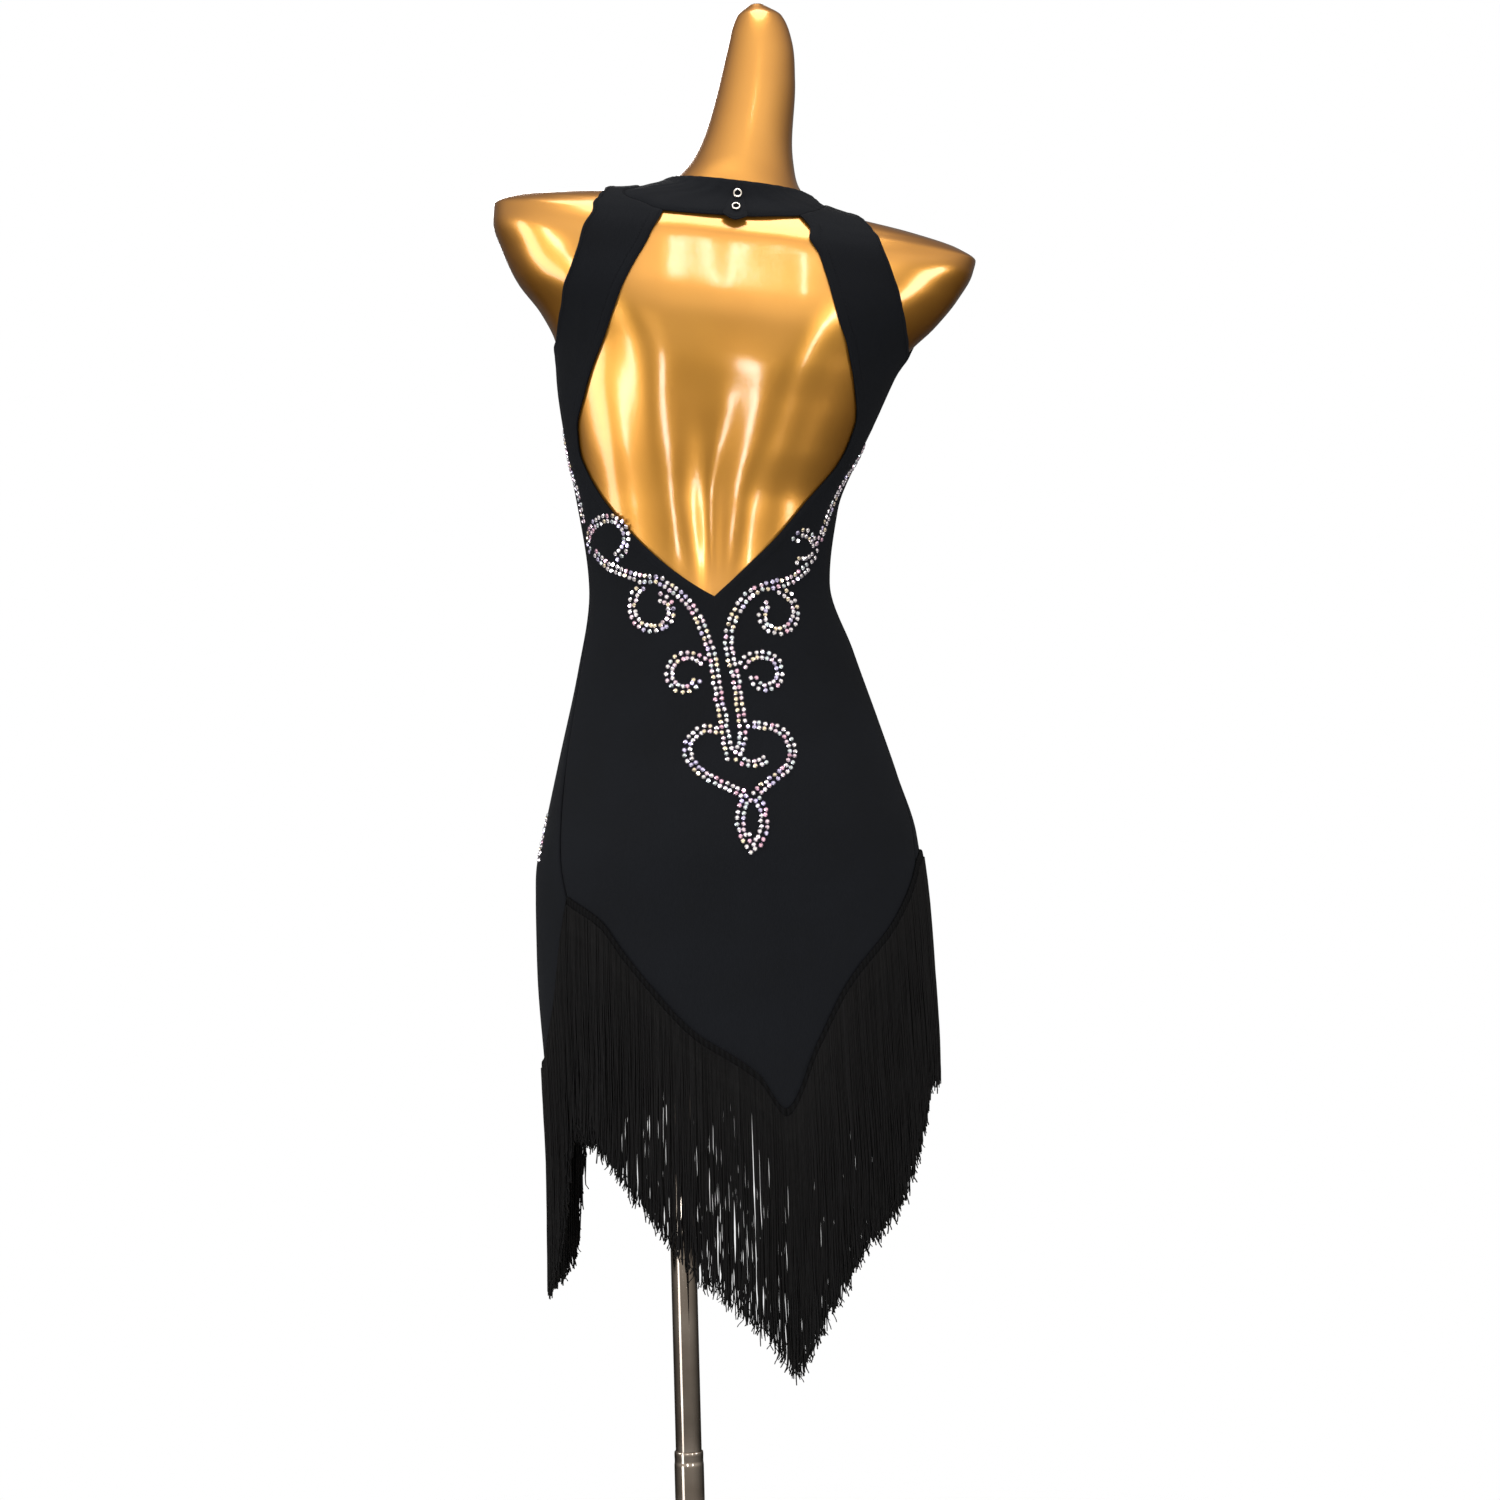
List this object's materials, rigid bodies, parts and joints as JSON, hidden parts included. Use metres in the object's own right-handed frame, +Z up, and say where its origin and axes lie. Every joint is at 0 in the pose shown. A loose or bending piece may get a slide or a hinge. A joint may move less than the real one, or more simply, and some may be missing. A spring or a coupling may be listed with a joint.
{
  "type": "latin dance dress on a dress form",
  "caption": "Backless black latin dance dress with an asymmetric fringed hem, on a gold limbless dress form with a round-footed tube stand.",
  "frame": {"origin": "centre of the underside of the stand's foot, on the floor", "axes": "+Z up along the pole, -Y the way the garment's front faces, +X towards the wearer's left"},
  "size_m": [0.4541, 0.34, 1.567],
  "materials": {
    "jersey": "matt black stretch jersey with a faint cool sheen",
    "fringe": "black twisted rayon threads",
    "rhinestone": "faceted foil-backed stones with a pearly coat",
    "closure_metal": "bright nickel wire",
    "form_paint": "glossy pearl gold paint on glass-fibre",
    "stand_steel": "bright plated steel"
  },
  "bodies": {
    "root": {"back_panel": "jersey", "front_panel": "jersey", "collar_band": "jersey", "collar_tab": "jersey", "closure_ring_upper": "closure_metal", "closure_ring_lower": "closure_metal", "fringe_back_left": "fringe", "fringe_back_right": "fringe", "fringe_front_right": "fringe", "fringe_front_tail": "fringe", "form_torso": "form_paint", "form_flange": "stand_steel", "pole_upper": "stand_steel", "pole_lower": "stand_steel", "foot_plate": "stand_steel"}
  },
  "joints": []
}
